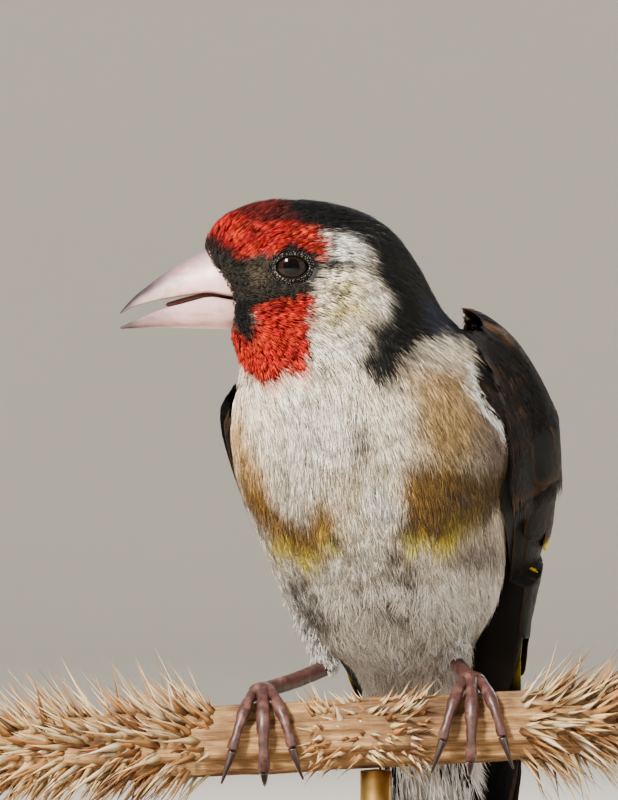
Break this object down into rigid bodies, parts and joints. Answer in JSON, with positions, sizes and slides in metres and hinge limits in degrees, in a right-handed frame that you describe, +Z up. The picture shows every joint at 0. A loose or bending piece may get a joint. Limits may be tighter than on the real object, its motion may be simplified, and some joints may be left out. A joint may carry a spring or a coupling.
{
  "type": "european goldfinch model",
  "caption": "Life-size still model of a goldfinch gripping a cut length of dry thistle stem on a round display stand, body facing front and head turned to its right.",
  "frame": {"origin": "centre of the underside of the round base, on the surface it stands on", "axes": "+Z up; -Y towards the viewer of the picture; the bird's breast faces -Y, a little towards -X, and its bill points along -X"},
  "size_m": [0.108, 0.108, 0.1017],
  "materials": {
    "plumage_head": "feathers: red face, black crown, pale cheek",
    "plumage_body": "feathers: off-white with brown flank patches",
    "flight_feathers": "satin black vanes with a yellow band and white tips",
    "bill": "smooth horn, ivory pink with a dark tip",
    "tongue": "moist",
    "eye": "polished, dark brown iris",
    "leg_scales": "fine scaled skin",
    "claw": "smooth horn",
    "dry_stem": "dry, ribbed and spiny",
    "stand_wood": "dark stained, satin",
    "stand_brass": "satin"
  },
  "bodies": {
    "root": {"head": "plumage_head", "neck": "plumage_body", "torso": "plumage_body", "thigh_left": "plumage_body", "thigh_right": "plumage_body", "wing_left": "flight_feathers", "wing_right": "flight_feathers", "tail": "flight_feathers", "bill_upper": "bill", "bill_lower": "bill", "tongue": "tongue", "eye_left": "eye", "eye_right": "eye", "leg_left": "leg_scales", "leg_right": "leg_scales", "claw_left_inner": "claw", "claw_left_middle": "claw", "claw_left_outer": "claw", "claw_left_hind": "claw", "claw_right_inner": "claw", "claw_right_middle": "claw", "claw_right_outer": "claw", "claw_right_hind": "claw", "perch_stem": "dry_stem", "stand_base": "stand_wood", "stand_rod": "stand_brass", "stand_collar": "stand_brass"}
  },
  "joints": []
}
